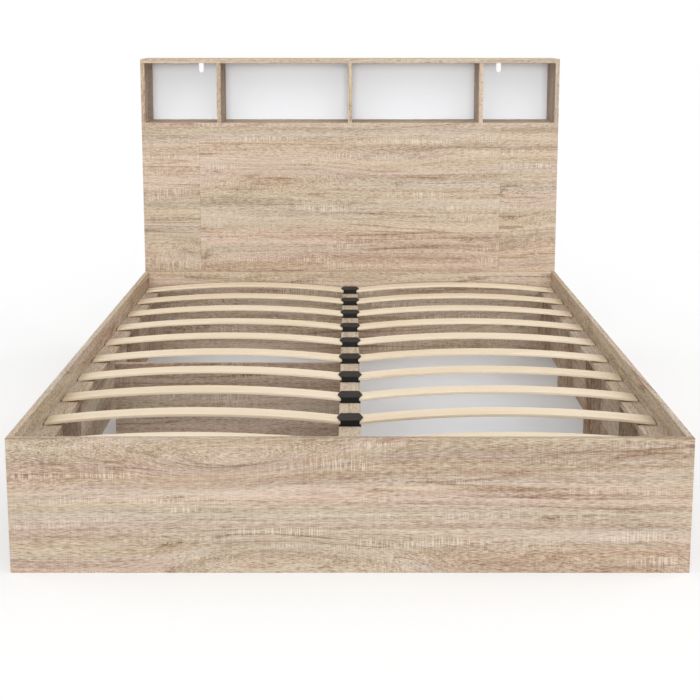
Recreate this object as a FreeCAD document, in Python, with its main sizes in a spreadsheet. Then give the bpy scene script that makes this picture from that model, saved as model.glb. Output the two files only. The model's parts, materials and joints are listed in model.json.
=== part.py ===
"""Double bed: a board frame with bowed slats and a headboard with open niches.

Millimetres. +X is to the right seen from the foot, +Y runs from the foot to the head, +Z is up.
The origin is on the floor, in the middle of the bed's length and width.
"""
import FreeCAD
import Part
import Sketcher
import os

doc = FreeCAD.newDocument("double_bed")

# Counts
SLATS_PER_SIDE = 10
POSTS_PER_SIDE = 5
SIDES = {"left": -1, "right": 1}

# Driving dimensions: alias, value, meaning
DIMENSIONS = [
    ("board", 16, "thickness of the laminated boards"),
    ("edge_ease", 0.4, "bevel along every board edge"),
    ("mattress_width", 1600, "clear width between the side rails"),
    ("mattress_length", 2000, "clear length between footboard and head rail"),
    ("frame_height", 336, "height of footboard, side rails and head rail"),
    ("ledger_width", 50, "width of the strips that carry the slats"),
    ("ledger_drop", 64, "rail top down to ledger top"),
    ("cap_width", 58, "width of the centre beam's cap"),
    ("cross_drop", 14, "cap's underside down to the top of the cross panel"),
    ("headboard_height", 1176, "height of the headboard"),
    ("headboard_depth", 200, "depth of the headboard, back included"),
    ("niche_height", 232, "clear height of the niches"),
    ("end_niche_width", 280, "clear width of the two outer niches"),
    ("front_side_width", 224, "width of the outer front panels"),
    ("front_seam", 0.3, "seam between two front panels"),
    ("hardboard", 3, "thickness of the white hardboard back"),
    ("back_inset", 2, "back edge in from the headboard's outline"),
    ("notch_width", 19, "width of the notch in the niche back"),
    ("notch_depth", 58, "notch length down from the headboard's top"),
    ("notch_place", 602, "middle of the notch from the bed's middle"),
    ("slat_width", 58, "width of a slat"),
    ("slat_thickness", 8, "thickness of a slat"),
    ("slat_crown", 24, "rise of a slat's middle over its ends"),
    ("first_slat", 100, "footboard's inner face to the first slat's middle"),
    ("last_slat", 73, "last slat's middle to the head rail's inner face"),
    ("slat_end_gap", 4, "slat end to side rail"),
    ("holder_width", 50, "width of a slat holder's body"),
    ("holder_roof_width", 69, "width over the holder's two lips"),
    ("holder_flange_width", 58, "width of the holder's foot"),
    ("holder_floor", 2, "thickness of the holder's foot"),
    ("holder_roof", 3, "thickness of the holder's roof"),
    ("holder_wall", 2.4, "wall in front of and behind a slat"),
    ("holder_web", 6, "wall between the two slat ends"),
    ("holder_bevel", 1.2, "bevel round the holder's roof"),
    ("pocket_room", 0.3, "clearance round a slat in its pocket"),
    ("peg_width", 9, "width of the holder's cross-shaped peg"),
    ("peg_rib", 2.4, "thickness of the peg's two ribs"),
    ("peg_length", 13, "length of the peg"),
    ("peg_room", 0.1, "radial clearance of a peg in the cap"),
    ("bolt_diameter", 6, "bolts between head rail and headboard"),
    ("bolt_flats", 10, "across the flats of bolt heads and nuts"),
    ("bolt_head_height", 4, "height of a bolt head"),
    ("bolt_room", 0.25, "radial clearance of a bolt in the boards"),
    ("nut_height", 5, "height of a nut"),
    ("nut_room", 0.05, "radial play of a nut on its bolt"),
    ("bolt_height", 150, "bolt axis over the floor"),
    ("outer_bolt", 100, "outer bolt axis to the side rail's inner face"),
    ("inner_bolt", 300, "inner bolt axis to the bed's middle"),
]

sheet = doc.addObject("Spreadsheet::Sheet", "dims")
for row, (alias, size, meaning) in enumerate(DIMENSIONS, start=1):
    sheet.set(f"A{row}", alias)
    sheet.set(f"B{row}", str(size))
    sheet.set(f"C{row}", meaning)
    sheet.setAlias(f"B{row}", alias)
doc.recompute()

# Derived places, as expressions on the sheet
BOARD = "dims.board"
HALF_INSIDE = "(dims.mattress_width / 2)"
HALF_OUTSIDE = f"({HALF_INSIDE} + {BOARD})"
FOOT_FRONT = f"(-(2 * {BOARD} + dims.mattress_length + dims.headboard_depth) / 2)"
FOOT_INSIDE = f"({FOOT_FRONT} + {BOARD})"
HEAD_INSIDE = f"({FOOT_INSIDE} + dims.mattress_length)"
HEADBOARD_FRONT = f"({HEAD_INSIDE} + {BOARD})"
BACK_FRONT = f"({HEADBOARD_FRONT} + dims.headboard_depth - dims.hardboard)"
LEDGER_TOP = "(dims.frame_height - dims.ledger_drop)"
CAP_TOP = f"({LEDGER_TOP} - dims.holder_floor)"
SHELF_BOTTOM = f"(dims.headboard_height - dims.niche_height - 2 * {BOARD})"
NICHE_BOTTOM = f"({SHELF_BOTTOM} + {BOARD})"
SEAM = f"({HALF_OUTSIDE} - dims.front_side_width)"
SLAT_INNER = "(dims.holder_web / 2 + dims.pocket_room)"
SLAT_OUTER = f"({HALF_INSIDE} - dims.slat_end_gap)"
SLAT_CHORD = f"({SLAT_OUTER} - {SLAT_INNER})"
SLAT_RADIUS = f"(({SLAT_CHORD} ^ 2 / 4 + dims.slat_crown ^ 2) / (2 * dims.slat_crown))"
SLAT_MIDDLE = f"(({SLAT_OUTER} + {SLAT_INNER}) / 2)"
FIRST_SLAT = f"({FOOT_INSIDE} + dims.first_slat)"
SLAT_RUN = "(dims.mattress_length - dims.first_slat - dims.last_slat)"
SLAT_PITCH = f"({SLAT_RUN} / {SLATS_PER_SIDE - 1})"
HOLDER_DEPTH = "(dims.slat_width + 2 * dims.pocket_room + 2 * dims.holder_wall)"
BOLT_PLACES = [f"({HALF_INSIDE} - dims.inner_bolt)", f"({HALF_INSIDE} + dims.inner_bolt)",
               "dims.outer_bolt", f"(2 * {HALF_INSIDE} - dims.outer_bolt)"]

sub_parts = []


def value(expression):
    """The number that an expression on the sheet gives now."""
    return float(sheet.evalExpression(expression))


def place(thing, x, y, z):
    """Ties the place of a sub-part to the sheet."""
    for axis, expression in (("x", x), ("y", y), ("z", z)):
        thing.setExpression(f".Placement.Base.{axis}", expression)


def new_body(label, kept=True):
    """An empty body; a kept one is written to a file of its own."""
    body = doc.addObject("PartDesign::Body", label)
    body.Label = label
    if kept:
        sub_parts.append(body)
    return body


def origin_plane(body, role):
    return next(feature for feature in body.Origin.OriginFeatures if feature.Role == role)


def new_sketch(body, name, role):
    """A sketch on one of the body's own origin planes."""
    sketch = body.newObject("Sketcher::SketchObject", f"{body.Name}_{name}")
    sketch.AttachmentSupport = [(origin_plane(body, role), "")]
    sketch.MapMode = "FlatFace"
    return sketch


def measure(sketch, kind, targets, expression):
    """Adds a dimension to a sketch and ties it to the sheet."""
    index = sketch.addConstraint(Sketcher.Constraint(kind, *targets, value(expression)))
    sketch.setExpression(f"Constraints[{index}]", expression)


def link(sketch, first, second):
    sketch.addConstraint(Sketcher.Constraint("Coincident", *first, *second))


def add_line(sketch, start, end):
    return sketch.addGeometry(Part.LineSegment(FreeCAD.Vector(*start, 0), FreeCAD.Vector(*end, 0)))


def add_arc(sketch, start, middle, end):
    points = [FreeCAD.Vector(*point, 0) for point in (start, middle, end)]
    return sketch.addGeometry(Part.Arc(*points))


# How a sketch numbers the points of a line or an arc, and its own origin
START, END, CENTRE = range(1, 4)
ORIGIN = (-1, START)


def add_rectangle(sketch, width, height):
    """Four lines; gives back their indices: bottom, right, top, left."""
    w, h = value(width), value(height)
    corners = [(0, 0), (w, 0), (w, h), (0, h)]
    lines = [add_line(sketch, corners[i], corners[(i + 1) % 4]) for i in range(4)]
    for i, line in enumerate(lines):
        link(sketch, (line, END), (lines[(i + 1) % 4], START))
        direction = "Horizontal" if i % 2 == 0 else "Vertical"
        sketch.addConstraint(Sketcher.Constraint(direction, line))
    measure(sketch, "DistanceX", (lines[0], START, lines[0], END), width)
    measure(sketch, "DistanceY", (lines[1], START, lines[1], END), height)
    return lines


def corner_rectangle(sketch, width, height):
    """A rectangle with its lower left corner on the origin."""
    lines = add_rectangle(sketch, width, height)
    link(sketch, (lines[0], START), ORIGIN)


def centred_rectangle(sketch, width, height):
    """A rectangle with its middle on the origin."""
    lines = add_rectangle(sketch, width, height)
    sketch.addConstraint(Sketcher.Constraint("Symmetric", lines[0], START, lines[2], START, *ORIGIN))


def add_circle(sketch, x, y, diameter):
    """A circle at a place to the right of and above the origin."""
    middle = FreeCAD.Vector(value(x), value(y), 0)
    circle = sketch.addGeometry(Part.Circle(middle, FreeCAD.Vector(0, 0, 1), value(diameter) / 2))
    measure(sketch, "Diameter", (circle,), diameter)
    measure(sketch, "DistanceX", (*ORIGIN, circle, CENTRE), x)
    measure(sketch, "DistanceY", (*ORIGIN, circle, CENTRE), y)


def pad(body, sketch, length, symmetric=False, downward=False):
    feature = body.newObject("PartDesign::Pad", f"{sketch.Name}_pad")
    feature.Profile = sketch
    feature.setExpression("Length", length)
    feature.SideType = "Symmetric" if symmetric else "One side"
    feature.Reversed = downward
    return feature


def pocket_through(body, sketch):
    """Cuts a sketch through the whole body, to both sides of its plane."""
    feature = body.newObject("PartDesign::Pocket", f"{sketch.Name}_pocket")
    feature.Profile = sketch
    feature.SideType = "Symmetric"
    feature.Type = "ThroughAll"
    return feature


def bevel_edges(body, feature, edges, size):
    bevel = body.newObject("PartDesign::Chamfer", f"{body.Name}_bevel")
    bevel.Base = (feature, edges)
    bevel.setExpression("Size", size)


def ease_edges(body, feature):
    """Bevels every edge of a plain board."""
    doc.recompute()
    bevel_edges(body, feature, [f"Edge{i + 1}" for i in range(len(feature.Shape.Edges))], "dims.edge_ease")


def board(label, size, at, kept=True):
    """A plain board: size along X, Y and Z, and its lowest corner."""
    body = new_body(label, kept)
    sketch = new_sketch(body, "outline", "XY_Plane")
    corner_rectangle(sketch, size[0], size[1])
    ease_edges(body, pad(body, sketch, size[2]))
    place(body, *at)
    return body


def drill(body, name, places, height, diameter):
    """Round holes through a board along Y, side by side at one height."""
    sketch = new_sketch(body, name, "XZ_Plane")
    for x in places:
        add_circle(sketch, x, height, diameter)
    pocket_through(body, sketch)


def group(label, members):
    """Separate solids that share one node."""
    compound = doc.addObject("Part::Compound", label)
    compound.Label = label
    compound.Links = members
    sub_parts.append(compound)


# Base frame
WHOLE_WIDTH = f"2 * {HALF_OUTSIDE}"
RAIL_LENGTH = f"(dims.mattress_length + {BOARD})"
BOLT_HOLE = "(dims.bolt_diameter + 2 * dims.bolt_room)"

board("footboard", (WHOLE_WIDTH, BOARD, "dims.frame_height"), (f"-{HALF_OUTSIDE}", FOOT_FRONT, "0"))

for side, sign in SIDES.items():
    rail_x = f"-{HALF_OUTSIDE}" if sign < 0 else HALF_INSIDE
    board(f"side_rail_{side}", (BOARD, RAIL_LENGTH, "dims.frame_height"), (rail_x, FOOT_INSIDE, "0"))

head_rail = board("head_rail", ("dims.mattress_width", BOARD, "dims.frame_height"),
                  (f"-{HALF_INSIDE}", HEAD_INSIDE, "0"))
drill(head_rail, "bolt_holes", BOLT_PLACES, "dims.bolt_height", BOLT_HOLE)

# Ledgers and the posts under them; the cross panel takes the place of the left middle post
POST_STEP = f"((dims.mattress_length - {BOARD}) / {POSTS_PER_SIDE - 1})"
LEDGER_BOTTOM = f"({LEDGER_TOP} - {BOARD})"
MIDDLE_POST = POSTS_PER_SIDE // 2

for side, sign in SIDES.items():
    strip_x = f"-{HALF_INSIDE}" if sign < 0 else f"{HALF_INSIDE} - dims.ledger_width"
    board(f"ledger_{side}", ("dims.ledger_width", "dims.mattress_length", BOARD),
          (strip_x, FOOT_INSIDE, LEDGER_BOTTOM))
    posts = []
    for i in range(POSTS_PER_SIDE):
        if side == "left" and i == MIDDLE_POST:
            continue
        post = board(f"post_{side}_{i + 1}", ("dims.ledger_width", BOARD, LEDGER_BOTTOM),
                     (strip_x, f"{FOOT_INSIDE} + {i} * {POST_STEP}", "0"), kept=False)
        posts.append(post)
    group(f"support_posts_{side}", posts)

# Centre beam: an upright panel with a cap that the slat holders peg into, and the cross panel
CAP_BOTTOM = f"({CAP_TOP} - {BOARD})"
CROSS_LENGTH = f"({HALF_INSIDE} - dims.ledger_width - {BOARD} / 2)"

board("centre_panel", (BOARD, "dims.mattress_length", CAP_BOTTOM), (f"-{BOARD} / 2", FOOT_INSIDE, "0"))
board("cross_panel", (CROSS_LENGTH, BOARD, f"{CAP_BOTTOM} - dims.cross_drop"),
      (f"-{HALF_INSIDE} + dims.ledger_width", f"{FOOT_INSIDE} + {MIDDLE_POST} * {POST_STEP}", "0"))

cap = board("centre_cap", ("dims.cap_width", "dims.mattress_length", BOARD),
            ("-dims.cap_width / 2", FOOT_INSIDE, CAP_BOTTOM))
peg_hole = new_sketch(cap, "peg_hole", "XY_Plane")
add_circle(peg_hole, "dims.cap_width / 2", "dims.first_slat",
           "sqrt(dims.peg_width ^ 2 + dims.peg_rib ^ 2) + 2 * dims.peg_room")
first_hole = pocket_through(cap, peg_hole)
hole_row = cap.newObject("PartDesign::LinearPattern", "peg_hole_row")
hole_row.Originals = [first_hole]
hole_row.Direction = (origin_plane(cap, "Y_Axis"), [""])
hole_row.Occurrences = SLATS_PER_SIDE
hole_row.setExpression("Length", SLAT_RUN)
cap.Tip = hole_row


# Bowed slats: two concentric arcs over a level chord
def bent_strip(sketch, middle_x, ends_z, spans, radii):
    """A strip between two concentric arcs with upright ends, each span an X from the origin."""
    centre = (value(middle_x), value(ends_z) - value(SLAT_RADIUS) + value("dims.slat_crown"))
    lower, upper = [value(radius) for radius in radii]
    left, right = [value(span) for span in spans]

    def on_arc(x, radius):
        return x, centre[1] + (radius ** 2 - (x - centre[0]) ** 2) ** 0.5

    arcs = []
    for radius in (lower, upper):
        ends = [on_arc(x, radius) for x in (left, right)]
        arcs.append(add_arc(sketch, ends[0], on_arc((left + right) / 2, radius), ends[1]))
    walls = [add_line(sketch, on_arc(x, lower), on_arc(x, upper)) for x in (left, right)]
    link(sketch, (arcs[0], CENTRE), (arcs[1], CENTRE))
    for wall, corner in zip(walls, (END, START)):
        sketch.addConstraint(Sketcher.Constraint("Vertical", wall))
        link(sketch, (wall, START), (arcs[0], corner))
        link(sketch, (wall, END), (arcs[1], corner))
    for arc, radius in zip(arcs, radii):
        measure(sketch, "Radius", (arc,), radius)
    return arcs, walls


def slat(label, x, y):
    """A slat with its ends on the ledger and in a holder, crowned in between."""
    body = new_body(label)
    sketch = new_sketch(body, "bow", "XZ_Plane")
    half_chord = f"({SLAT_CHORD} / 2)"
    arcs, walls = bent_strip(sketch, "0", "0", (f"-{half_chord}", half_chord),
                             (SLAT_RADIUS, f"{SLAT_RADIUS} + dims.slat_thickness"))
    sketch.addConstraint(Sketcher.Constraint("Symmetric", walls[0], START, walls[1], START, *ORIGIN))
    measure(sketch, "DistanceX", (walls[0], START, walls[1], START), SLAT_CHORD)
    pad(body, sketch, "dims.slat_width", symmetric=True)
    place(body, x, y, LEDGER_TOP)


for i in range(SLATS_PER_SIDE):
    slat_y = f"{FIRST_SLAT} + {i} * {SLAT_PITCH}"
    for side, sign in SIDES.items():
        slat(f"slat_{side}_{i + 1:02d}", f"{sign} * {SLAT_MIDDLE}", slat_y)

# Double slat holders: foot, body, lipped roof, two sloping pockets and a cross-shaped peg
SLAT_TOP_AT_LIP = (f"(sqrt(({SLAT_RADIUS} + dims.slat_thickness + dims.pocket_room) ^ 2"
                   f" - ({SLAT_MIDDLE} - dims.holder_roof_width / 2) ^ 2)"
                   f" - {SLAT_RADIUS} + dims.slat_crown)")
ROOF_BOTTOM = f"(dims.holder_floor + {SLAT_TOP_AT_LIP})"


def slat_holder(label, y):
    """A moulded holder that stands on the centre cap and takes one slat from each side."""
    body = new_body(label)
    foot = new_sketch(body, "foot", "XY_Plane")
    centred_rectangle(foot, "dims.holder_flange_width", HOLDER_DEPTH)
    pad(body, foot, "dims.holder_floor")
    block = new_sketch(body, "block", "XY_Plane")
    centred_rectangle(block, "dims.holder_width", HOLDER_DEPTH)
    pad(body, block, ROOF_BOTTOM)
    roof = new_sketch(body, "roof", "XY_Plane")
    roof_outline(roof)
    roof.setExpression(".AttachmentOffset.Base.z", ROOF_BOTTOM)
    bevel_rim(body, pad(body, roof, "dims.holder_roof"))
    for rib, size in (("rib_across", ("dims.peg_width", "dims.peg_rib")),
                      ("rib_along", ("dims.peg_rib", "dims.peg_width"))):
        peg = new_sketch(body, rib, "XY_Plane")
        centred_rectangle(peg, *size)
        pad(body, peg, "dims.peg_length", downward=True)
    mouth = new_sketch(body, "pocket", "XZ_Plane")
    pocket_outline(mouth)
    cut = body.newObject("PartDesign::Pocket", f"{mouth.Name}_cut")
    cut.Profile = mouth
    cut.SideType = "Symmetric"
    cut.setExpression("Length", "dims.slat_width + 2 * dims.pocket_room")
    mirror = body.newObject("PartDesign::Mirrored", f"{label}_mirror")
    mirror.Originals = [cut]
    mirror.MirrorPlane = (origin_plane(body, "YZ_Plane"), [""])
    body.Tip = mirror
    place(body, "0", y, CAP_TOP)


def bevel_rim(body, feature):
    """Bevels the edges round the highest face."""
    doc.recompute()
    top = feature.Shape.BoundBox.ZMax
    edges = feature.Shape.Edges
    rim = [f"Edge{i + 1}" for i, edge in enumerate(edges) if edge.BoundBox.ZMin > top - edge.Tolerance]
    bevel_edges(body, feature, rim, "dims.holder_bevel")


def roof_outline(sketch):
    """Straight front and back, and a lip that bulges out on each side."""
    half_body = value("dims.holder_width") / 2
    half_depth = value(HOLDER_DEPTH) / 2
    tip = value("dims.holder_roof_width") / 2
    front = add_line(sketch, (-half_body, -half_depth), (half_body, -half_depth))
    right = add_arc(sketch, (half_body, -half_depth), (tip, 0), (half_body, half_depth))
    back = add_line(sketch, (half_body, half_depth), (-half_body, half_depth))
    left = add_arc(sketch, (-half_body, half_depth), (-tip, 0), (-half_body, -half_depth))
    sketch.addConstraint(Sketcher.Constraint("Horizontal", front))
    sketch.addConstraint(Sketcher.Constraint("Symmetric", front, START, back, START, *ORIGIN))
    sketch.addConstraint(Sketcher.Constraint("Symmetric", front, END, back, END, *ORIGIN))
    measure(sketch, "DistanceX", (front, START, front, END), "dims.holder_width")
    measure(sketch, "DistanceY", (front, END, back, START), HOLDER_DEPTH)
    lip_radius = (f"((({HOLDER_DEPTH}) ^ 2 / 4 + ((dims.holder_roof_width - dims.holder_width) / 2) ^ 2)"
                  " / (dims.holder_roof_width - dims.holder_width))")
    for arc, start_line, end_line in ((right, front, back), (left, back, front)):
        link(sketch, (arc, START), (start_line, END))
        link(sketch, (arc, END), (end_line, START))
        measure(sketch, "Radius", (arc,), lip_radius)


def pocket_outline(sketch):
    """The room for the right slat's end: the slat's own arcs, set off by the clearance."""
    mouth_x = "(dims.holder_roof_width / 2 + dims.holder_floor)"
    radii = (f"({SLAT_RADIUS} - dims.pocket_room)",
             f"({SLAT_RADIUS} + dims.slat_thickness + dims.pocket_room)")
    half_web = "dims.holder_web / 2"
    arcs, walls = bent_strip(sketch, SLAT_MIDDLE, "dims.holder_floor", (half_web, mouth_x), radii)
    measure(sketch, "DistanceX", (*ORIGIN, walls[0], START), half_web)
    measure(sketch, "DistanceX", (*ORIGIN, walls[1], START), mouth_x)
    measure(sketch, "DistanceX", (*ORIGIN, arcs[0], CENTRE), SLAT_MIDDLE)
    measure(sketch, "DistanceY", (arcs[0], CENTRE, *ORIGIN),
            f"{SLAT_RADIUS} - dims.slat_crown - dims.holder_floor")


for i in range(SLATS_PER_SIDE):
    slat_holder(f"slat_holder_{i + 1:02d}", f"{FIRST_SLAT} + {i} * {SLAT_PITCH}")

# Headboard: lower case with three front panels, shelf, niches and top
BOARD_DEPTH = "(dims.headboard_depth - dims.hardboard)"
CASE_DEPTH = f"({BOARD_DEPTH} - {BOARD})"
CASE_FRONT = f"({HEADBOARD_FRONT} + {BOARD})"
HALF_SEAM = "dims.front_seam / 2"
NICHE_SIDE = "dims.niche_height"

for side, sign in SIDES.items():
    wall_x = f"-{HALF_OUTSIDE}" if sign < 0 else HALF_INSIDE
    board(f"headboard_side_{side}", (BOARD, CASE_DEPTH, SHELF_BOTTOM), (wall_x, CASE_FRONT, "0"))
    board(f"headboard_partition_{side}", (BOARD, CASE_DEPTH, SHELF_BOTTOM),
          (f"{sign} * {SEAM} - {BOARD} / 2", CASE_FRONT, "0"))
    board(f"niche_side_{side}", (BOARD, BOARD_DEPTH, NICHE_SIDE), (wall_x, HEADBOARD_FRONT, NICHE_BOTTOM))
    divider_x = f"{HALF_INSIDE} - dims.end_niche_width - {BOARD} / 2"
    board(f"niche_divider_{side}", (BOARD, BOARD_DEPTH, NICHE_SIDE),
          (f"{sign} * ({divider_x}) - {BOARD} / 2", HEADBOARD_FRONT, NICHE_BOTTOM))
    panel_x = f"-{HALF_OUTSIDE}" if sign < 0 else f"{SEAM} + {HALF_SEAM}"
    panel = board(f"headboard_front_{side}", (f"dims.front_side_width - {HALF_SEAM}", BOARD, SHELF_BOTTOM),
                  (panel_x, HEADBOARD_FRONT, "0"))
    hole_x = f"{BOARD} + dims.outer_bolt"
    if sign > 0:
        hole_x = f"dims.front_side_width - {HALF_SEAM} - {BOARD} - dims.outer_bolt"
    drill(panel, "bolt_hole", [hole_x], "dims.bolt_height", BOLT_HOLE)

board("niche_divider_centre", (BOARD, BOARD_DEPTH, NICHE_SIDE),
      (f"-{BOARD} / 2", HEADBOARD_FRONT, NICHE_BOTTOM))
board("niche_shelf", (WHOLE_WIDTH, BOARD_DEPTH, BOARD), (f"-{HALF_OUTSIDE}", HEADBOARD_FRONT, SHELF_BOTTOM))
board("headboard_top", (WHOLE_WIDTH, BOARD_DEPTH, BOARD),
      (f"-{HALF_OUTSIDE}", HEADBOARD_FRONT, f"dims.headboard_height - {BOARD}"))

CENTRE_PANEL_HALF = f"({SEAM} - {HALF_SEAM})"
centre_front = board("headboard_front_centre", (f"2 * {CENTRE_PANEL_HALF}", BOARD, SHELF_BOTTOM),
                     (f"-{CENTRE_PANEL_HALF}", HEADBOARD_FRONT, "0"))
drill(centre_front, "bolt_holes",
      [f"{CENTRE_PANEL_HALF} - dims.inner_bolt", f"{CENTRE_PANEL_HALF} + dims.inner_bolt"],
      "dims.bolt_height", BOLT_HOLE)

# White hardboard backs; the upper one has a round-ended notch behind each outer niche
BACK_WIDTH = f"(2 * {HALF_OUTSIDE} - 2 * dims.back_inset)"
BACK_SPLIT = f"({SHELF_BOTTOM} + {BOARD} / 2)"
BACK_TOP = "(dims.headboard_height - dims.back_inset)"


def back_sheet(label, bottom, top):
    """A hardboard sheet on the rear edges of the headboard, between two heights."""
    body = new_body(label)
    sketch = new_sketch(body, "outline", "XZ_Plane")
    corner_rectangle(sketch, BACK_WIDTH, f"{top} - {bottom}")
    pad(body, sketch, "dims.hardboard", downward=True)
    place(body, f"-{BACK_WIDTH} / 2", BACK_FRONT, bottom)
    return body


def notch_outline(sketch, middle_x, bottom_z, top_z):
    """A slot that runs out of the sheet's top edge, with a half-round bottom."""
    half = value("dims.notch_width") / 2
    x, low, high = value(middle_x), value(bottom_z), value(top_z)
    bend = add_arc(sketch, (x - half, low + half), (x, low), (x + half, low + half))
    right = add_line(sketch, (x + half, low + half), (x + half, high))
    lid = add_line(sketch, (x + half, high), (x - half, high))
    left = add_line(sketch, (x - half, high), (x - half, low + half))
    sketch.addConstraint(Sketcher.Constraint("Tangent", bend, END, right, START))
    sketch.addConstraint(Sketcher.Constraint("Tangent", bend, START, left, END))
    link(sketch, (right, END), (lid, START))
    link(sketch, (lid, END), (left, START))
    for wall in (left, right):
        sketch.addConstraint(Sketcher.Constraint("Vertical", wall))
    sketch.addConstraint(Sketcher.Constraint("Horizontal", lid))
    measure(sketch, "DistanceX", (lid, END, lid, START), "dims.notch_width")
    measure(sketch, "DistanceX", (*ORIGIN, bend, CENTRE), middle_x)
    measure(sketch, "DistanceY", (*ORIGIN, bend, CENTRE), f"{bottom_z} + dims.notch_width / 2")
    measure(sketch, "DistanceY", (*ORIGIN, lid, START), top_z)


back_sheet("back_lower", "dims.back_inset", BACK_SPLIT)
niche_back = back_sheet("back_upper", BACK_SPLIT, BACK_TOP)
notches = new_sketch(niche_back, "notches", "XZ_Plane")
sheet_height = f"({BACK_TOP} - {BACK_SPLIT})"
notch_bottom = f"(dims.headboard_height - dims.notch_depth - {BACK_SPLIT})"
for sign in SIDES.values():
    notch_outline(notches, f"{BACK_WIDTH} / 2 + {sign} * dims.notch_place", notch_bottom,
                  f"{sheet_height} + dims.back_inset")
pocket_through(niche_back, notches)


# Bolts through the head rail and the front panels, each with its nut, drawn upright and laid along Y
def hexagon(name, height, start):
    """A six-sided block, wrench size across its flats, from a start along its axis."""
    block = doc.addObject("Part::Prism", name)
    block.Polygon = 6
    block.setExpression("Circumradius", "dims.bolt_flats / sqrt(3)")
    block.setExpression("Height", height)
    block.setExpression(".Placement.Base.z", start)
    return block


def rod(name, diameter, length):
    cylinder = doc.addObject("Part::Cylinder", name)
    cylinder.setExpression("Radius", f"{diameter} / 2")
    cylinder.setExpression("Height", length)
    return cylinder


SHANK_LENGTH = f"(2 * {BOARD} + dims.nut_height)"
NUT_BORE = "(dims.bolt_diameter + 2 * dims.nut_room)"
ALONG_Y = FreeCAD.Rotation(FreeCAD.Vector(1, 0, 0), -90)
fasteners = []
for i, bolt_place in enumerate(BOLT_PLACES, start=1):
    bolt = doc.addObject("Part::Fuse", f"bolt_{i}")
    bolt.Base = rod(f"bolt_{i}_shank", "dims.bolt_diameter", SHANK_LENGTH)
    bolt.Tool = hexagon(f"bolt_{i}_head", "dims.bolt_head_height", "-dims.bolt_head_height")
    nut = doc.addObject("Part::Cut", f"nut_{i}")
    nut.Base = hexagon(f"nut_{i}_block", "dims.nut_height", f"2 * {BOARD}")
    nut.Tool = rod(f"nut_{i}_bore", NUT_BORE, SHANK_LENGTH)
    for fastener in (bolt, nut):
        fastener.Placement.Rotation = ALONG_Y
        place(fastener, f"{bolt_place} - {HALF_INSIDE}", HEAD_INSIDE, "dims.bolt_height")
        fasteners.append(fastener)
group("bed_bolts", fasteners)

doc.recompute()

for item in doc.Objects:
    if "Invalid" in item.State or "Error" in item.State:
        raise RuntimeError(f"{item.Label} failed: {item.State}")
for item in sub_parts:
    if item.Shape.isNull() or not item.Shape.isValid():
        raise RuntimeError(f"{item.Label} has no valid shape")

os.makedirs("parts", exist_ok=True)
for item in sub_parts:
    item.Shape.exportStep(f"parts/{item.Label}.step")
print(f"{len(sub_parts)} sub-parts written")
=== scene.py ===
# %% [markdown]
# # A double bed with a niche headboard
#
# The bed is flat-pack furniture: boards with a printed sawn-oak surface, two rows of bowed
# birch slats on a centre beam, black plastic slat holders, and a headboard with four open niches
# that a thin white sheet closes at the back.
#
# The shapes come from the construction model. They could be rebuilt here with cubes, but then two sets of
# sizes would have to agree. Loading them as a fixed frame keeps one set, so the work here is what the
# eye reads as wood, plastic and paint, plus a few small shapes that only matter to the eye.

# %% Load the frame
import json
import math

import bpy
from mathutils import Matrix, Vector


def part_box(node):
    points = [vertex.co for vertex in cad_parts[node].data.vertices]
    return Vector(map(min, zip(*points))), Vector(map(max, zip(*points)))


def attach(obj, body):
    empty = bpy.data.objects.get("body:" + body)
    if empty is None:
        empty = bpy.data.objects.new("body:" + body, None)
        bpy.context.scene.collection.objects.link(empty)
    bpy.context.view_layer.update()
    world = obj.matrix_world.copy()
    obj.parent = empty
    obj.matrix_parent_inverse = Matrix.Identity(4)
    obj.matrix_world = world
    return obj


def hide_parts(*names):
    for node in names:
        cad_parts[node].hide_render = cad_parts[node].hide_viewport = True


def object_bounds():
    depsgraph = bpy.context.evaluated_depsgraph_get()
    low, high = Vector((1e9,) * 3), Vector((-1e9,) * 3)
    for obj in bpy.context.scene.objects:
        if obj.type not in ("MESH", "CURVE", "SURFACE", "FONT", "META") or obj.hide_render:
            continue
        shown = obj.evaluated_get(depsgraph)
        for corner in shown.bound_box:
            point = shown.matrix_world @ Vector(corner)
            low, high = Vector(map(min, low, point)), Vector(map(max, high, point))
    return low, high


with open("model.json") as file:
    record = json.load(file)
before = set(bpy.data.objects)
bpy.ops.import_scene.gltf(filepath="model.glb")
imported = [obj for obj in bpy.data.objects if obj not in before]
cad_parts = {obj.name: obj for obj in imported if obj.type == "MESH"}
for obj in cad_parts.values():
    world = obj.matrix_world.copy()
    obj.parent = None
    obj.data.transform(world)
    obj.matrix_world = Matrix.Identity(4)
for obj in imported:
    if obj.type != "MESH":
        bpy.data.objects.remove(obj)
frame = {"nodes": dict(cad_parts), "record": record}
cad_low, cad_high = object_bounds()
print(len(frame["nodes"]), "pieces,", [round(side, 3) for side in cad_high - cad_low], "m overall")

# %% [markdown]
# ## A short hand for finishes
#
# A procedural finish is a chain of nodes. Wired one by one, forty lines say very little, so two small
# classes give each kind of node one short method. A method takes numbers or the output of another
# method, and gives back an output, so that a finish reads like a recipe. The first class only wires.

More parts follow.
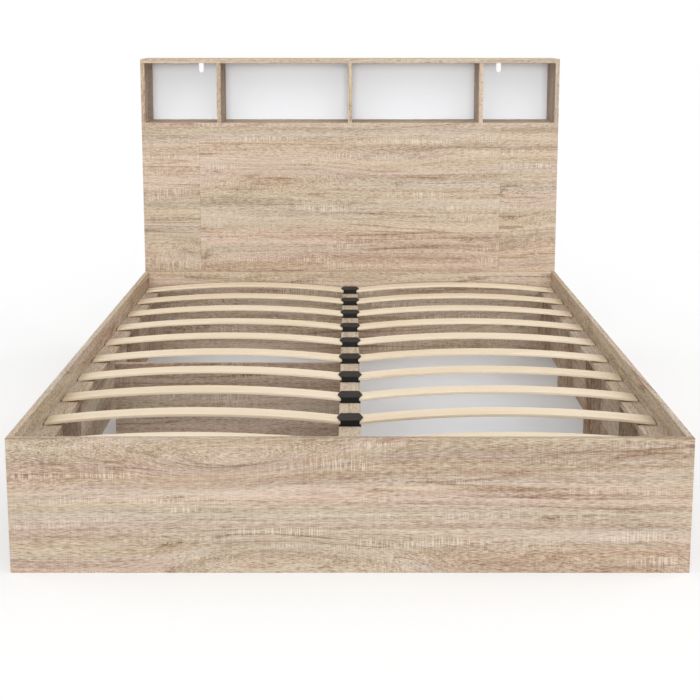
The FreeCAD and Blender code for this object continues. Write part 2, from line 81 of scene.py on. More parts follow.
# %% Wiring
class Wiring:
    """A material and its nodes. A value is a number or colour, or the output of another node."""

    def __init__(self, name):
        self.material = bpy.data.materials.new(name)
        self.material.use_nodes = True
        self.tree = self.material.node_tree
        self.surface = self.tree.nodes["Principled BSDF"]

    def feed(self, socket, value):
        if isinstance(value, bpy.types.NodeSocket):
            self.tree.links.new(value, socket)
        else:
            socket.default_value = value

    def node(self, kind, inputs=(), **settings):
        made = self.tree.nodes.new(kind)
        for name, setting in settings.items():
            setattr(made, name, setting)
        for key, value in dict(inputs).items():
            self.feed(made.inputs[key], value)
        return made

    def calc(self, operation, first, second=0.0, third=0.0):
        inputs = {0: first, 1: second, 2: third}
        return self.node("ShaderNodeMath", inputs, operation=operation).outputs[0]

    def vector(self, operation, first, second=(0.0, 0.0, 0.0)):
        return self.node("ShaderNodeVectorMath", {0: first, 1: second}, operation=operation).outputs[0]

    def split(self, vector):
        return self.node("ShaderNodeSeparateXYZ", {0: vector}).outputs

    def join(self, x=0.0, y=0.0, z=0.0):
        return self.node("ShaderNodeCombineXYZ", {0: x, 1: y, 2: z}).outputs[0]


print("wiring ready")

# %% [markdown]
# The second class holds the steps that every finish here is made of: a place on the piece, cloudy noise, a
# soft threshold, a blend of two colours, a ramp of several, and a relief too fine to model.
#
# Colours are easiest to choose as they are read off a screen. Nodes count in linear light, where a mid grey
# is far below a half, so one function turns the first into the second.

# %% Recipe and paint
class Recipe(Wiring):
    """The steps of a finish, from a place on the piece to the surface."""

    def space(self):
        return self.node("ShaderNodeTexCoord").outputs["Object"]

    def facing(self, kind="True Normal"):
        return self.split(self.node("ShaderNodeNewGeometry").outputs[kind])

    def noise(self, place, rates, detail=2.0, roughness=0.5):
        """Cloudy values about 0.5; rates are how often they change per metre along each axis."""
        inputs = {"Vector": self.vector("MULTIPLY", place, rates), "Scale": 1.0, "Detail": detail,
                  "Roughness": roughness}
        return self.node("ShaderNodeTexNoise", inputs).outputs["Fac"]

    def step(self, value, low, high, top=1.0):
        """Goes smoothly from 0 to top while the value goes from low to high."""
        inputs = {"Value": value, "From Min": low, "From Max": high, "To Min": 0.0, "To Max": top}
        return self.node("ShaderNodeMapRange", inputs, interpolation_type="SMOOTHSTEP").outputs[0]

    def blend(self, factor, first, second, mode="MIX"):
        inputs = {0: factor, 6: first, 7: second}
        return self.node("ShaderNodeMix", inputs, data_type="RGBA", blend_type=mode).outputs[2]

    def ramp(self, value, stops):
        made = self.node("ShaderNodeValToRGB", {"Fac": value})
        points = made.color_ramp.elements
        while len(points) < len(stops):
            points.new(0.5)
        for point, (position, colour) in zip(points, stops):
            point.position = position
            point.color = colour
        return made.outputs["Color"]

    def bump(self, height, strength, depth):
        inputs = {"Height": height, "Strength": strength, "Distance": depth}
        self.feed(self.surface.inputs["Normal"], self.node("ShaderNodeBump", inputs).outputs["Normal"])

    def finish(self, **sockets):
        for name, value in sockets.items():
            self.feed(self.surface.inputs[name.replace("_", " ")], value)
        return self.material


def paint(red, green, blue):
    """A colour as it is read off a screen, 0 to 255, as the linear values that nodes use."""
    shares = [level / 255 for level in (red, green, blue)]
    linear = [((share + 0.055) / 1.055) ** 2.4 if share > 0.04045 else share / 12.92 for share in shares]
    return (*linear, 1.0)


print("recipe ready; a mid grey of 128 is", round(paint(128, 128, 128)[0], 3), "in linear light")

# %% [markdown]
# ## Sawn-oak print
#
# The boards carry a print of rough-sawn oak: long bands along the board, growth lines that bend
# round oval eyes, short dark pores, and pale cross marks that a saw blade leaves. A photo of wood could be
# wrapped round each board, but it would repeat and stretch at the edges. Here the wood is worked out in
# space, so that every board is cut from another place of the same oak.
#
# Each board names the axis that its grain follows. On the two ends of a board, where the cut would show
# end grain, the real one has a strip of the same print, so there the axes change places.

# %% Places in the oak
# A face whose normal leans this much along the grain is an end of the board
END_FACING = 0.8
SWIRL_RATES = (1.0, 5.0, 5.0)
EYE_RATES = (0.9, 4.0, 4.0)
EYE_EDGE = (0.55, 0.75)
EYE_SWIRL = 0.26
PLAIN_SWIRL = 0.05


def board_place(recipe, grain, shift):
    """Where a point lies in the oak: along the grain first, then the two axes across it."""
    x, y, z = recipe.split(recipe.space())
    along, across, deep = {"X": (x, z, y), "Y": (y, z, x), "Z": (z, x, y)}[grain]
    lean = recipe.calc("ABSOLUTE", recipe.facing("Normal")["XYZ".index(grain)])
    choice = {0: recipe.calc("GREATER_THAN", lean, END_FACING), 4: recipe.join(along, across, deep),
              5: recipe.join(deep, along, across)}
    return recipe.vector("ADD", recipe.node("ShaderNodeMix", choice, data_type="VECTOR").outputs[1], shift)


def bend_across(recipe, place, amount):
    """Moves the grain sideways by an amount that differs from place to place."""
    return recipe.vector("ADD", place, recipe.join(y=amount, z=amount))


def swirl_place(recipe, place):
    """Lets the straight grain wander a little, and swirl round a few oval eyes."""
    swirl = recipe.calc("SUBTRACT", recipe.noise(place, SWIRL_RATES, detail=1.0), 0.5)
    eye = recipe.step(recipe.noise(place, EYE_RATES, detail=0.0), *EYE_EDGE, top=EYE_SWIRL)
    return bend_across(recipe, place, recipe.calc("MULTIPLY", swirl, recipe.calc("ADD", eye, PLAIN_SWIRL)))


plain_reach, eye_reach = [round(reach / 2 * 1000) for reach in (PLAIN_SWIRL, PLAIN_SWIRL + EYE_SWIRL)]
print("grain wanders by up to", plain_reach, "mm, and round an eye by up to", eye_reach, "mm")

# %% [markdown]
# How dark is the print at a point? Five layers of noise add up, from bands as wide as a hand to single
# fibres, all drawn out along the grain. One layer with much detail could stand for all, but its
# detail would keep one proportion of length to width, and fibres are far thinner than bands. Thin dark veins
# and small knots, where short fibres bend and cross, come on top.

# %% Tone of the oak
# How often a layer of the grain changes per metre along and across it, and how much it counts
GRAIN_LAYERS = [((0.3, 11.0, 11.0), 0.65), ((0.6, 36.0, 36.0), 0.50), ((1.8, 100.0, 100.0), 0.45),
                ((9.0, 260.0, 260.0), 0.50), ((60.0, 620.0, 620.0), 1.60)]
VEIN_RATES = (0.6, 16.0, 16.0)
VEIN_HALF_WIDTH = 0.022
VEIN_PATCH_RATES = (1.6, 10.0, 10.0)
VEIN_PATCH_EDGE = (0.42, 0.62)
VEIN_DARKNESS = 0.36
KNOT_RATES = (4.0, 15.0, 15.0)
KNOT_EDGE = (0.64, 0.76)
KNOT_BEND_RATES = (14.0, 30.0, 30.0)
KNOT_BEND = 0.12
KNOT_FIBRE_RATES = (45.0, 240.0, 240.0)
KNOT_CONTRAST = 2.2
KNOT_LIGHTENING = -0.85


def knots(recipe, grown):
    """How much darker or paler the small knots are."""
    bend = recipe.calc("SUBTRACT", recipe.noise(grown, KNOT_BEND_RATES, detail=0.0), 0.5)
    bent = bend_across(recipe, grown, recipe.calc("MULTIPLY", bend, KNOT_BEND))
    fibres = recipe.noise(bent, KNOT_FIBRE_RATES, detail=1.0)
    knot = recipe.step(recipe.noise(grown, KNOT_RATES, detail=1.0), *KNOT_EDGE)
    return recipe.calc("MULTIPLY", knot, recipe.calc("MULTIPLY_ADD", fibres, KNOT_CONTRAST, KNOT_LIGHTENING))


def oak_tone(recipe, grown):
    tone = 0.5 - sum(weight for rates, weight in GRAIN_LAYERS) / 2
    for rates, weight in GRAIN_LAYERS:
        tone = recipe.calc("MULTIPLY_ADD", recipe.noise(grown, rates), weight, tone)
    off_vein = recipe.calc("ABSOLUTE", recipe.calc("SUBTRACT", recipe.noise(grown, VEIN_RATES), 0.5))
    patch = recipe.step(recipe.noise(grown, VEIN_PATCH_RATES), *VEIN_PATCH_EDGE, top=VEIN_DARKNESS)
    vein = recipe.calc("MULTIPLY", recipe.step(off_vein, VEIN_HALF_WIDTH, 0.0), patch)
    return recipe.calc("ADD", recipe.calc("ADD", tone, vein), knots(recipe, grown))


finest_rates, finest_weight = GRAIN_LAYERS[-1]
print(len(GRAIN_LAYERS), "layers of grain, the finest about", round(1000 / finest_rates[1], 1), "mm wide")

# %% [markdown]
# The tone picks a colour from five oak browns. The print isn't one hue from dark to light, though: it drifts
# between a pinkish and an olive cast, and between a warm and a cool one. More stops in the ramp would tie
# the casts to the tone, so they are multiplied over it instead, each with a slow noise of its own.

# %% Colour of the oak
OAK_TONES = [(0.16, paint(208, 192, 173)), (0.36, paint(195, 177, 158)), (0.52, paint(182, 164, 145)),
             (0.72, paint(164, 141, 119)), (0.95, paint(136, 109, 88))]
PINK_CAST = (1.03, 0.985, 0.995, 1.0)
OLIVE_CAST = (0.975, 1.01, 1.0, 1.0)
WARM_CAST = (1.01, 1.0, 0.955, 1.0)
COOL_CAST = (0.99, 1.0, 1.04, 1.0)
CASTS = [((0.5, 15.0, 15.0), PINK_CAST, OLIVE_CAST), ((0.7, 24.0, 24.0), WARM_CAST, COOL_CAST)]
CAST_EDGE = (0.35, 0.65)


def oak_colour(recipe, grown, tone):
    colour = recipe.ramp(tone, OAK_TONES)
    for rates, first, second in CASTS:
        drift = recipe.step(recipe.noise(grown, rates), *CAST_EDGE)
        colour = recipe.blend(1.0, colour, recipe.blend(drift, first, second), mode="MULTIPLY")
    return colour


print(len(OAK_TONES), "oak browns under", len(CASTS), "drifting casts")

# %% [markdown]
# Last come the smallest marks. Pores are short dark dashes in the darker wood. The saw's marks are the
# other way round: pale ticks across the grain, close together in rows. They don't follow the grown figure,
# because a blade knows nothing of it, so they are drawn in the straight space of the board.
#
# The boards are matt. A glossy coat could be set, but at a low angle the print would wash out in
# reflections.

# %% Oak board finish
OAK_PORE = paint(119, 93, 74)
PORE_RATES = (75.0, 700.0, 700.0)
PORE_EDGE = (0.56, 0.70)
PORE_DARKNESS = 0.5
PORE_TONES = (0.3, 0.7)
SAW_MARK = paint(224, 212, 196)
TICK_RATES = (340.0, 18.0, 18.0)
TICK_EDGE = (0.48, 0.66)
TICK_ROW_RATES = (3.0, 30.0, 30.0)
TICK_ROW_EDGE = (0.54, 0.70)
TICK_ROW_STRENGTH = 0.54
STRAY_TICKS = 0.10
# A relief is a strength and a depth in metres; a roughness is how much it varies, and its least value
OAK_RELIEF = (0.2, 0.0003)
OAK_ROUGHNESS = (0.2, 0.55)


def saw_marks(recipe, place):
    ticks = recipe.step(recipe.noise(place, TICK_RATES, detail=0.0), *TICK_EDGE)
    row = recipe.step(recipe.noise(place, TICK_ROW_RATES), *TICK_ROW_EDGE, top=TICK_ROW_STRENGTH)
    return recipe.calc("MULTIPLY", ticks, recipe.calc("ADD", row, STRAY_TICKS))


def oak_finish(name, grain, shift):
    recipe = Recipe(name)
    place = board_place(recipe, grain, shift)
    grown = swirl_place(recipe, place)
    tone = oak_tone(recipe, grown)
    pores = recipe.step(recipe.noise(grown, PORE_RATES, detail=1.0), *PORE_EDGE, top=PORE_DARKNESS)
    shown_pores = recipe.calc("MULTIPLY", pores, recipe.step(tone, *PORE_TONES))
    saw = saw_marks(recipe, place)
    colour = recipe.blend(shown_pores, oak_colour(recipe, grown, tone), OAK_PORE)
    colour = recipe.blend(saw, colour, SAW_MARK)
    recipe.bump(recipe.calc("SUBTRACT", saw, recipe.calc("ADD", tone, pores)), *OAK_RELIEF)
    roughness = recipe.calc("MULTIPLY_ADD", tone, *OAK_ROUGHNESS)
    return recipe.finish(Base_Color=colour, Roughness=roughness, Specular_IOR_Level=0.12)


print("saw ticks about", round(1000 / TICK_RATES[0]), "mm apart")

# %% [markdown]
# Which way does the grain run? A maker saws a board along the plank, so the longest side tells. The outer
# front panels are the exception: their print runs across, to go on from the middle panel. The posts
# are one group of short uprights, so their shared box says nothing about one post.
#
# Each board comes from a plank of its own, apart from the three front panels: those are cut from one, a
# short slip along the grain apart, so that the broad bands run on across the seams and the small figure
# doesn't.

# %% Oak on every board
CROSS_GRAIN = {"headboard_front_left": "X", "headboard_front_right": "X",
               "support_posts_left": "Z", "support_posts_right": "Z"}
SHARED_PLANK = "headboard_front"
PANEL_SLIP = {"headboard_front_left": Vector((-0.3, 0.0, 0.0)),
              "headboard_front_right": Vector((0.3, 0.0, 0.0))}
PLANK_STEP = Vector((1.37, 0.61, 0.43))

slot_of = {row["node"]: row["material_slot"] for row in frame["record"]["subparts"]}


def longest_side(node):
    low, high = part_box(node)
    return "XYZ"[max(range(3), key=lambda axis: high[axis] - low[axis])]


def dress(node, material):
    for slot in frame["nodes"][node].material_slots:
        slot.material = material


def plank_of(node):
    return SHARED_PLANK if node.startswith(SHARED_PLANK) else node


oak_nodes = sorted(node for node, slot in slot_of.items() if slot == "oak_board")
planks = sorted({plank_of(node) for node in oak_nodes})
for node in oak_nodes:
    place_in_oak = PLANK_STEP * (planks.index(plank_of(node)) + 1) + PANEL_SLIP.get(node, Vector())
    dress(node, oak_finish(f"oak_{node}", CROSS_GRAIN.get(node, longest_side(node)), place_in_oak))
print(len(oak_nodes), "boards dressed in oak, from", len(planks), "planks")

# %% [markdown]
# ## Birch slats
#
# A slat is glued from thin birch veneers in a curved press. Its top shows pale, straight grain, and its
# sides show the layers as fine lines that follow the bow. The lines could be drawn level, but then they
# would run out of the wood near the ends, so they are measured from the middle of the bow's own circle.

# %% Layers of a slat
SLAT_THICKNESS = 0.008
LAYERS = 6
# Share of a layer, at each face of it, over which a glue line fades
GLUE_FADE = 0.16


def bow_circle(node):
    """Middle and radius of the circle that a slat's underside follows."""
    low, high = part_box(node)
    rise = high.z - low.z - SLAT_THICKNESS
    half_chord = (high.x - low.x) / 2
    radius = (half_chord ** 2 + rise ** 2) / (2 * rise)
    return Vector(((low.x + high.x) / 2, 0, low.z + rise - radius)), radius


def glue_lines(recipe, place, node):
    """1 where two veneers meet, 0 within a veneer."""
    middle, radius = bow_circle(node)
    arm = recipe.vector("MULTIPLY", recipe.vector("SUBTRACT", place, middle), (1.0, 0.0, 1.0))
    reach = recipe.node("ShaderNodeVectorMath", {0: arm}, operation="LENGTH").outputs["Value"]
    layer = recipe.calc("DIVIDE", recipe.calc("SUBTRACT", reach, radius), SLAT_THICKNESS / LAYERS)
    within = recipe.calc("FRACT", layer)
    return recipe.calc("ADD", recipe.step(within, GLUE_FADE, 0.0), recipe.step(within, 1.0 - GLUE_FADE, 1.0))


print("a slat bows on a radius of", round(bow_circle("slat_left_01")[1], 2), "m, in", LAYERS, "layers")

# %% [markdown]
# The birch itself is quiet: fine fibres, slow waves of a warmer tone, and short flecks. The glue lines are
# kept to the sides. A second material on the side faces could do that, but the round edges have no clear
# border, so the finish asks how far a face leans from level.

# %% Birch finish
BIRCH_PALE = paint(234, 220, 199)
BIRCH_MID = paint(228, 211, 185)
BIRCH_WARM = paint(213, 192, 161)
BIRCH_TONES = [(0.15, BIRCH_PALE), (0.5, BIRCH_MID), (0.95, BIRCH_WARM)]
GLUE_LINE = paint(200, 176, 144)
BIRCH_FIBRES = (4.0, 320.0, 320.0)
BIRCH_WAVES = (2.0, 14.0, 5.0)
BIRCH_CONTRAST = 0.9
BIRCH_BIAS = -0.4
BIRCH_FLECKS = (45.0, 700.0, 700.0)
FLECK_EDGE = (0.60, 0.75)
FLECK_STRENGTH = 0.35
SIDE_FACING = (0.6, 0.3)
GLUE_STRENGTH = 0.5
BIRCH_RELIEF = (0.15, 0.0003)
BIRCH_ROUGHNESS = (0.2, 0.42)


def birch_finish(name, node):
    recipe = Recipe(name)
    place = recipe.space()
    fibres = recipe.noise(place, BIRCH_FIBRES, detail=3.0, roughness=0.6)
    tone = recipe.calc("MULTIPLY_ADD", fibres, BIRCH_CONTRAST, BIRCH_BIAS)
    tone = recipe.calc("MULTIPLY_ADD", recipe.noise(place, BIRCH_WAVES), BIRCH_CONTRAST, tone)
    flecks = recipe.step(recipe.noise(place, BIRCH_FLECKS, detail=1.0), *FLECK_EDGE, top=FLECK_STRENGTH)
    colour = recipe.blend(flecks, recipe.ramp(tone, BIRCH_TONES), BIRCH_WARM)
    glue = glue_lines(recipe, place, node)
    level = recipe.calc("ABSOLUTE", recipe.facing()["Z"])
    on_side = recipe.step(level, *SIDE_FACING, top=GLUE_STRENGTH)
    colour = recipe.blend(recipe.calc("MULTIPLY", glue, on_side), colour, GLUE_LINE)
    recipe.bump(recipe.calc("SUBTRACT", fibres, glue), *BIRCH_RELIEF)
    roughness = recipe.calc("MULTIPLY_ADD", fibres, *BIRCH_ROUGHNESS)
    return recipe.finish(Base_Color=colour, Roughness=roughness, Specular_IOR_Level=0.35)


birch = {side: birch_finish(f"birch_{side}", f"slat_{side}_01") for side in ("left", "right")}
print("birch for the slats on the", " and the ".join(birch))

# %% [markdown]
# A slat comes out of the sander with round edges, and the light that runs along them is what makes it look
# like a slat and not like a strip of card. The construction model keeps them square, so each slat is made
# again here, inside the same outline: a rounded cut, repeated along the bow. A bevel on a strip would do
# too, but then the bow itself would still have to be bent.

# %% Cut of a slat
EDGE_ROUND = 0.0015
EDGE_STEPS = 4
# Two more points on each flat, close to the round, keep the shading of the flat even
FLAT_MARGIN = 0.0015


def rounded_cut(width, inset):
    """Points round a slat's cut, across and up from the middle of its underside."""
    half = width / 2 - inset - EDGE_ROUND
    low = inset + EDGE_ROUND
    high = SLAT_THICKNESS - inset - EDGE_ROUND
    points = []
    for across, up, start in ((half, high, 0), (-half, high, 90), (-half, low, 180), (half, low, 270)):
        for i in range(EDGE_STEPS + 1):
            turn = math.radians(start + 90 * i / EDGE_STEPS)
            points.append((across + EDGE_ROUND * math.cos(turn), up + EDGE_ROUND * math.sin(turn)))
        if start in (0, 180):
            inward = math.copysign(half - FLAT_MARGIN, across)
            flat = points[-1][1]
            points += [(inward, flat), (-inward, flat)]
    return points


slat_low, slat_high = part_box("slat_left_01")
print(len(rounded_cut(slat_high.y - slat_low.y, 0.0)), "points round a slat's cut")

# %% [markdown]
# The cut is set up at stations along the bow, between the two arcs of the slat, and neighbouring cuts are
# joined by four-sided faces. The last cut at each end is drawn in a little, which eases the sharp end.
#
# Every piece that is made here is carried by the bed's one body and gets one material, so one helper
# does that for slats, holders and nails.

# %% Rounded slats
END_EASE = 0.001
BOW_STEPS = 30


def slat_mesh(node):
    low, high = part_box(node)
    middle, radius = bow_circle(node)
    reach = high.x - low.x - 2 * END_EASE
    stations = [(low.x + END_EASE + reach * i / BOW_STEPS, 0.0) for i in range(BOW_STEPS + 1)]
    stations = [(low.x, END_EASE)] + stations + [(high.x, END_EASE)]
    points = []
    for x, inset in stations:
        under = middle.z + math.sqrt(radius ** 2 - (x - middle.x) ** 2)
        over = middle.z + math.sqrt((radius + SLAT_THICKNESS) ** 2 - (x - middle.x) ** 2)
        for across, up in rounded_cut(high.y - low.y, inset):
            points.append((x, (low.y + high.y) / 2 + across, under + (over - under) * up / SLAT_THICKNESS))
    ring = len(points) // len(stations)
    faces = [(k * ring + j, k * ring + (j + 1) % ring, (k + 1) * ring + (j + 1) % ring, (k + 1) * ring + j)
             for k in range(len(stations) - 1) for j in range(ring)]
    ends = [tuple(reversed(range(ring))), tuple(range(len(points) - ring, len(points)))]
    mesh = bpy.data.meshes.new(f"sanded_{node}")
    mesh.from_pydata(points, [], faces + ends)
    for face in mesh.polygons:
        face.use_smooth = len(face.vertices) == 4
    return mesh


def add_piece(mesh, material):
    """A piece named after its mesh, on the bed's body, with one material."""
    mesh.materials.append(material)
    piece = bpy.data.objects.new(mesh.name, mesh)
    bpy.context.scene.collection.objects.link(piece)
    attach(piece, "root")
    return piece


for side, material in birch.items():
    row = sorted(node for node in slot_of if node.startswith(f"slat_{side}"))
    for node in row:
        piece = add_piece(slat_mesh(node), material)
        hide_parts(node)
    print(len(row), side, "slats with round edges,", len(piece.data.polygons), "faces each")

# %% [markdown]
# ## Black moulded holders
#
# The holders are moulded in black plastic. A moulding tool is spark-eroded, which leaves a very fine grain
# that breaks up the shine. A plain glossy black would look like glass at this size, so a fine noise
# lifts the surface and varies the roughness.

# %% Holder finish
PLASTIC_TONES = [(0.3, paint(22, 21, 21)), (0.7, paint(30, 29, 29))]
PLASTIC_CLOUDS = (60.0, 60.0, 60.0)
MOULD_GRAIN = (1800.0, 1800.0, 1800.0)
MOULD_RELIEF = (0.35, 0.0002)
PLASTIC_ROUGHNESS = (0.25, 0.38)


def holder_finish():
    recipe = Recipe("holder_plastic")
    place = recipe.space()
    grain = recipe.noise(place, MOULD_GRAIN)
    colour = recipe.ramp(recipe.noise(place, PLASTIC_CLOUDS, detail=3.0), PLASTIC_TONES)
    recipe.bump(grain, *MOULD_RELIEF)
    roughness = recipe.calc("MULTIPLY_ADD", grain, *PLASTIC_ROUGHNESS)
    return recipe.finish(Base_Color=colour, Roughness=roughness, Specular_IOR_Level=0.16)


plastic = holder_finish()
print("holder plastic ready")

# %% [markdown]
# The roof of a holder runs out to a blunt point over each slat. The construction model gives its lips one
# plain arc. A new roof could be modelled, but everything else on the holder is right, so each one is
# copied, and the lips of the copy are drawn in towards the straight lines that meet at the tip.

# %% Pointed holders
HOLDER_HALF_WIDTH = 0.025
# The roof is 3 mm thick, and no other corner outside the body lies within this much of its top
ROOF_ZONE = 0.0045
# 0 keeps the arc, 1 makes the sides of a lip straight
LIP_POINT = 0.85
# Corners that agree to this many digits of a metre are one
CORNER_DIGITS = 7


def drawn_in(corner, low, high):
    """Where a corner of the holder goes: in the lips towards the middle, elsewhere it stays."""
    out = abs(corner.x) - HOLDER_HALF_WIDTH
    if out <= 0 or corner.z < high.z - ROOF_ZONE:
        return corner
    from_tip = abs(2 * corner.y - low.y - high.y) / (high.y - low.y)
    reach = HOLDER_HALF_WIDTH + out / (1 + LIP_POINT * from_tip)
    return Vector((math.copysign(reach, corner.x), corner.y, corner.z))


def pointed_holder(node):
    low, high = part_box(node)
    moulding = frame["nodes"][node].data
    corners = {}
    faces = []
    for face in moulding.polygons:
        places = [drawn_in(moulding.vertices[i].co, low, high) for i in face.vertices]
        keys = [tuple(round(part, CORNER_DIGITS) for part in place) for place in places]
        faces.append([corners.setdefault(key, len(corners)) for key in keys])
    mesh = bpy.data.meshes.new(f"pointed_{node}")
    mesh.from_pydata(list(corners), [], faces)
    return mesh


holders = sorted(node for node, slot in slot_of.items() if slot == "holder_plastic")
for node in holders:
    piece = add_piece(pointed_holder(node), plastic)
    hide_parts(node)
print(len(holders), "holders in black plastic,", len(piece.data.vertices), "corners each")

# %% [markdown]
# ## White-faced hardboard
#
# The back is hardboard: pressed wood fibre, painted white on the face that the niches show and left brown
# behind, where a wall hides it. Two pieces could stand for the two faces, but one sheet with two sides is
# what it is, so the finish asks which way a face looks.

# %% Raw hardboard
FIBRE_LIGHT = paint(156, 119, 84)
FIBRE_MID = paint(140, 103, 70)
FIBRE_DARK = paint(116, 83, 55)
FIBRE_TONES = [(0.32, FIBRE_DARK), (0.5, FIBRE_MID), (0.68, FIBRE_LIGHT)]
FIBRE_RATES = (260.0, 260.0, 260.0)
FIBRE_SHARE = 0.75
CLOUD_RATES = (3.0, 3.0, 3.0)
SPECK_RATES = (700.0, 700.0, 700.0)
SPECK_EDGE = (0.64, 0.72)
SPECK_STRENGTH = 0.4
SCREEN_PITCH = 0.0026


def raw_hardboard(recipe, place, fibres):
    """Brown fibres in clouds, with dark specks."""
    clouds = recipe.calc("MULTIPLY", recipe.noise(place, CLOUD_RATES, detail=3.0), 1.0 - FIBRE_SHARE)
    colour = recipe.ramp(recipe.calc("MULTIPLY_ADD", fibres, FIBRE_SHARE, clouds), FIBRE_TONES)
    specks = recipe.step(recipe.noise(place, SPECK_RATES, detail=1.0), *SPECK_EDGE, top=SPECK_STRENGTH)
    return recipe.blend(specks, colour, FIBRE_DARK)


def press_screen(recipe, place):
    """The fine weave that the screen of the press leaves in the rear face."""
    x, y, z = recipe.split(recipe.vector("MULTIPLY", place, (math.tau / SCREEN_PITCH,) * 3))
    return recipe.calc("MULTIPLY", recipe.calc("SINE", x), recipe.calc("SINE", z))


print("press screen with a pitch of", round(SCREEN_PITCH * 1000, 1), "mm")

# %% [markdown]
# The paint hides fibres and weave, so the relief is switched off on the painted face, and that face is the
# smoother one. Each sheet is cut from another place, as the boards are.

# %% Painted hardboard
HARDBOARD_WHITE = paint(244, 249, 255)
# A face whose normal points this far to the front is painted
PAINTED_FACING = -0.5
SCREEN_SHARE = 0.4
HARDBOARD_RELIEF = (0.2, 0.0003)
RAW_ROUGHNESS = 0.8
PAINT_SMOOTHING = -0.3
BACK_SHEETS = ("back_upper", "back_lower")


def hardboard_finish(name, shift):
    recipe = Recipe(name)
    place = recipe.vector("ADD", recipe.space(), shift)
    fibres = recipe.noise(place, FIBRE_RATES, detail=4.0, roughness=0.65)
    painted = recipe.calc("LESS_THAN", recipe.facing()["Y"], PAINTED_FACING)
    colour = recipe.blend(painted, raw_hardboard(recipe, place, fibres), HARDBOARD_WHITE)
    relief = recipe.calc("MULTIPLY_ADD", press_screen(recipe, place), SCREEN_SHARE, fibres)
    recipe.bump(recipe.calc("MULTIPLY", relief, recipe.calc("SUBTRACT", 1.0, painted)), *HARDBOARD_RELIEF)
    roughness = recipe.calc("MULTIPLY_ADD", painted, PAINT_SMOOTHING, RAW_ROUGHNESS)
    return recipe.finish(Base_Color=colour, Roughness=roughness, Specular_IOR_Level=0.3)


for i, node in enumerate(BACK_SHEETS):
    dress(node, hardboard_finish(f"hardboard_{node}", PLANK_STEP * i))
print("hardboard on", " and ".join(BACK_SHEETS))

# %% [markdown]
# ## Steel
#
# The bolts that hold the head rail to the headboard are zinc-plated, with a faint mottle in the plating. One
# even grey would do from far away, but it would look like paint close up.

# %% Bolts
ZINC_TONES = [(0.35, paint(176, 178, 182)), (0.65, paint(206, 208, 210))]
ZINC_MOTTLE = (400.0, 400.0, 400.0)
ZINC_ROUGHNESS = (0.25, 0.2)


def bolt_finish():
    recipe = Recipe("bolt_steel")
    mottle = recipe.noise(recipe.space(), ZINC_MOTTLE, detail=3.0)
    roughness = recipe.calc("MULTIPLY_ADD", mottle, *ZINC_ROUGHNESS)
    return recipe.finish(Base_Color=recipe.ramp(mottle, ZINC_TONES), Metallic=1.0, Roughness=roughness)


steel = bolt_finish()
dress("bed_bolts", steel)
print("bolts plated")

# %% [markdown]
# The back sheets are held by rows of small nails in the rear edges of the boards behind them. Their places
# could be listed, but a row follows from the frame: a board counts when its rear edge touches the sheet, and
# the row runs along the strip that the two share.

# %% Places of the nails
NAIL_PITCH = 0.115
NAIL_INSET = 0.03
TOUCHING = 0.0002


def nail_row(board, sheet):
    """Places of the nails that hold a sheet to one board's rear edge."""
    board_low, board_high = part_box(board)
    sheet_low, sheet_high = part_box(sheet)
    if abs(board_high.y - sheet_low.y) > TOUCHING:
        return []
    low = Vector([max(pair) for pair in zip(board_low, sheet_low)])
    high = Vector([min(pair) for pair in zip(board_high, sheet_high)])
    start = (low + high) / 2
    start.y = sheet_high.y
    end = start.copy()
    axis = 0 if high.x - low.x > high.z - low.z else 2
    start[axis] = low[axis] + NAIL_INSET
    end[axis] = high[axis] - NAIL_INSET
    run = end[axis] - start[axis]
    count = max(1, round(run / NAIL_PITCH))
    return [start.lerp(end, i / count) for i in range(count + 1)] if run > 0 else []


nail_places = [place for sheet in BACK_SHEETS for board in oak_nodes for place in nail_row(board, sheet)]
print(len(nail_places), "places for nails in the back sheets")

# %% [markdown]
# A nail is driven flush, so only its head shows: a disc sunk in the sheet, whose middle stands a hair over
# it. A hundred copies of one object could be set out, but one mesh with all the heads is lighter to handle.

# %% Nail heads
NAIL_RADIUS = 0.002
NAIL_CROWN_RADIUS = 0.0016
NAIL_DEPTH = 0.0004
NAIL_PROUD = 0.00005
NAIL_SIDES = 12


def nail_heads(places):
    rings = [(NAIL_RADIUS, -NAIL_DEPTH), (NAIL_RADIUS, NAIL_PROUD / 2), (NAIL_CROWN_RADIUS, NAIL_PROUD)]
    points = []
    faces = []
    for place in places:
        first = len(points)
        for radius, rise in rings:
            for i in range(NAIL_SIDES):
                turn = math.tau * i / NAIL_SIDES
                points.append(place + Vector((radius * math.cos(turn), rise, radius * math.sin(turn))))
        for k in range(len(rings) - 1):
            for i in range(NAIL_SIDES):
                a = first + k * NAIL_SIDES + i
                b = first + k * NAIL_SIDES + (i + 1) % NAIL_SIDES
                faces.append((a, a + NAIL_SIDES, b + NAIL_SIDES, b))
        faces.append(tuple(range(first, first + NAIL_SIDES)))
        faces.append(tuple(reversed(range(len(points) - NAIL_SIDES, len(points)))))
    mesh = bpy.data.meshes.new("back_nails")
    mesh.from_pydata(points, [], faces)
    return mesh


nails = add_piece(nail_heads(nail_places), steel)
print(len(nails.data.polygons), "faces in", len(nail_places), "nail heads")

# %% [markdown]
# ## Floor, light and camera
#
# A white floor and a white sky stand in for a studio. The floor could be a plain glowing plane, but then the
# bed would float: it has to keep the soft shadow round the boards. So it is a matt, pale grey floor with a
# glow that lifts it to white. Only the camera and reflections see the glow, so it doesn't light the bed.
#
# Under the bed the glow would show between the slats, so there the floor has none, and is painted paler.

# %% Floor
FLOOR_HALF = 30.0
FLOOR_OPEN = paint(203, 203, 203)
FLOOR_UNDER = paint(244, 249, 255)
FLOOR_ROUGHNESS = 0.9
GLOW_OPEN = 0.35
WHITE = (1.0, 1.0, 1.0, 1.0)

